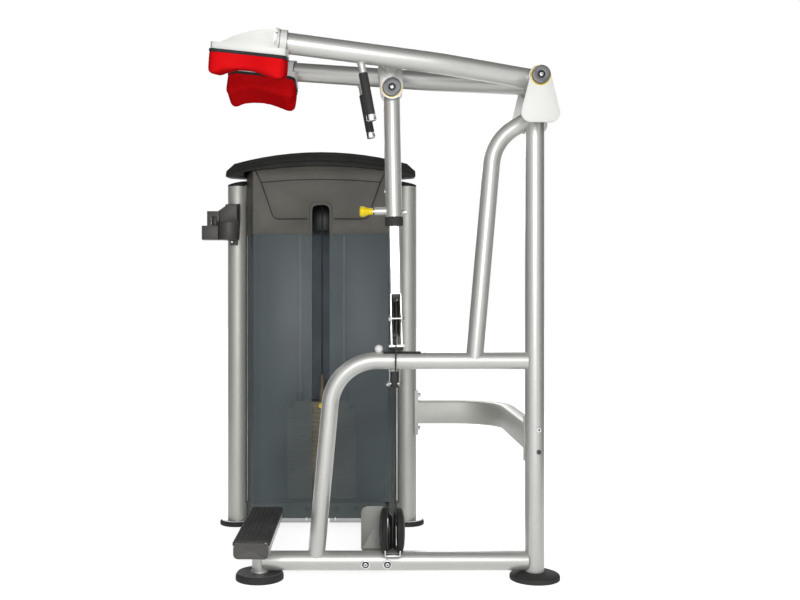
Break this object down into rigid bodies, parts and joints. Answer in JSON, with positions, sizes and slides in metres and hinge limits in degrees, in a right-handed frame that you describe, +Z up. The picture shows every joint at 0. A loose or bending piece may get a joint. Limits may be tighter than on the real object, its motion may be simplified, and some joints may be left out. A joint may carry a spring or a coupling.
{
  "type": "standing calf raise machine",
  "caption": "Standing calf raise machine: low step, padded shoulder lever on a post, push rod and cable to a shrouded weight stack.",
  "frame": {"origin": "on the floor, under the centre of the main post", "axes": "+Z up, +X from the step towards the main post, +Y from the front towards the weight tower"},
  "size_m": [1.3025, 1.2087, 1.7718],
  "materials": {
    "silver_paint": "metallic silver powder coat",
    "satin_chrome": "satin chrome",
    "dark_steel": "dark satin paint",
    "black_steel": "black painted plates",
    "black_rubber": "matte moulded rubber",
    "dark_plastic": "matte moulded plastic",
    "black_cord": "black coating on the steel cable",
    "red_vinyl": "smooth red vinyl",
    "yellow_plastic": "glossy yellow plastic",
    "white_plastic": "white moulded plastic",
    "smoked_acrylic": "smoked clear acrylic"
  },
  "bodies": {
    "frame": {"main_post": "silver_paint", "post_foot": "black_rubber", "base_tube": "silver_paint", "step_post": "silver_paint", "step_beam": "silver_paint", "step_tread": "black_rubber", "step_cap_front": "dark_plastic", "step_cap_back": "dark_plastic", "mid_tube": "silver_paint", "brace_tube": "silver_paint", "pivot_plate_front": "silver_paint", "pivot_plate_back": "silver_paint", "hub_axle": "dark_steel", "rest_saddle": "black_rubber", "rest_knob": "white_plastic", "wheel_guards": "dark_plastic", "cable_main": "black_cord", "cable_stack": "black_cord", "cable_front_run": "black_cord", "cable_back_run": "black_cord", "column_left": "silver_paint", "column_right": "silver_paint", "tower_sill": "dark_steel", "top_frame": "dark_steel", "header": "dark_plastic", "rear_cover": "dark_plastic", "top_cover": "dark_plastic", "front_panel_left": "smoked_acrylic", "front_panel_right": "smoked_acrylic", "weight_stack": "black_steel", "guide_rod_left": "satin_chrome", "guide_rod_right": "satin_chrome", "low_connector": "silver_paint", "high_connector": "silver_paint", "bottle_holder": "black_rubber"},
    "lever": {"hub_tube": "silver_paint", "arm_front": "silver_paint", "arm_back": "silver_paint", "grip_front": "black_rubber", "grip_back": "black_rubber", "cross_tube": "silver_paint", "link_axle": "dark_steel", "pad_bracket_front": "silver_paint", "pad_bracket_back": "silver_paint", "pad_front": "red_vinyl", "pad_back": "red_vinyl"},
    "push_rod": {"link_tube": "silver_paint", "link_collar": "black_rubber", "link_rod": "satin_chrome", "link_stop": "black_rubber", "cable_link_wrap": "black_cord"},
    "link_pulley": {"link_wheel": "dark_plastic"},
    "pull_pin_body": {"pull_pin": "yellow_plastic"},
    "front_pulley": {"front_wheel": "dark_plastic"},
    "rear_pulley": {"rear_wheel": "dark_plastic"},
    "top_pulley_left": {"top_wheel_left": "dark_plastic"},
    "top_pulley_right": {"top_wheel_right": "dark_plastic"},
    "lift": {"head_plate": "black_steel"},
    "selector": {"selector_pin": "yellow_plastic"}
  },
  "joints": [
    {"name": "lever_pivot", "type": "hinge", "parent": "frame", "child": "lever", "pos_m": [0, 0, 1.645], "axis": [0, 1, 0], "range_deg": [0, 15], "deforming": ["cable_front_run", "cable_back_run"]},
    {"name": "rod_pivot", "type": "hinge", "parent": "lever", "child": "push_rod", "pos_m": [-0.475, 0, 1.62], "axis": [0, 1, 0], "range_deg": [-15, 0]},
    {"name": "link_wheel_spin", "type": "hinge", "parent": "push_rod", "child": "link_pulley", "pos_m": [-0.45998, 0, 0.86515], "axis": [0.9998, 0, 0.0199], "range_deg": [-130, 0]},
    {"name": "pull_pin_slide", "type": "slide", "parent": "push_rod", "child": "pull_pin_body", "axis": [-0.9998, 0, -0.0199], "range_m": [0, 0.012], "stiffness_N_per_m": 400, "springref_m": -0.004},
    {"name": "front_wheel_spin", "type": "hinge", "parent": "frame", "child": "front_pulley", "pos_m": [-0.473, 0, 0.16], "axis": [1, 0, 0], "range_deg": [-258, 0]},
    {"name": "rear_wheel_spin", "type": "hinge", "parent": "frame", "child": "rear_pulley", "pos_m": [-0.473, 0.761, 0.148], "axis": [1, 0, 0], "range_deg": [-326, 0]},
    {"name": "top_wheel_left_spin", "type": "hinge", "parent": "frame", "child": "top_pulley_left", "pos_m": [-0.684, 0.805, 1.385], "axis": [0, 1, 0], "range_deg": [0, 258]},
    {"name": "top_wheel_right_spin", "type": "hinge", "parent": "frame", "child": "top_pulley_right", "pos_m": [-0.529, 0.805, 1.385], "axis": [0, 1, 0], "range_deg": [0, 258]},
    {"name": "stack_lift", "type": "slide", "parent": "frame", "child": "lift", "axis": [0, 0, 1], "range_m": [0, 0.25], "deforming": ["cable_stack"]},
    {"name": "selector_slide", "type": "slide", "parent": "lift", "child": "selector", "axis": [0, -1, 0], "range_m": [0, 0.055]}
  ],
  "couplings": [
    {"joint": "rod_pivot", "follows": "lever_pivot", "ratio": -0.951},
    {"joint": "link_wheel_spin", "follows": "lever_pivot", "ratio": -8.4443},
    {"joint": "front_wheel_spin", "follows": "lever_pivot", "ratio": -16.889},
    {"joint": "rear_wheel_spin", "follows": "lever_pivot", "ratio": -21.495},
    {"joint": "top_wheel_left_spin", "follows": "lever_pivot", "ratio": 16.889},
    {"joint": "top_wheel_right_spin", "follows": "lever_pivot", "ratio": 16.889},
    {"joint": "stack_lift", "follows": "lever_pivot", "m_per_rad": 0.94576}
  ]
}
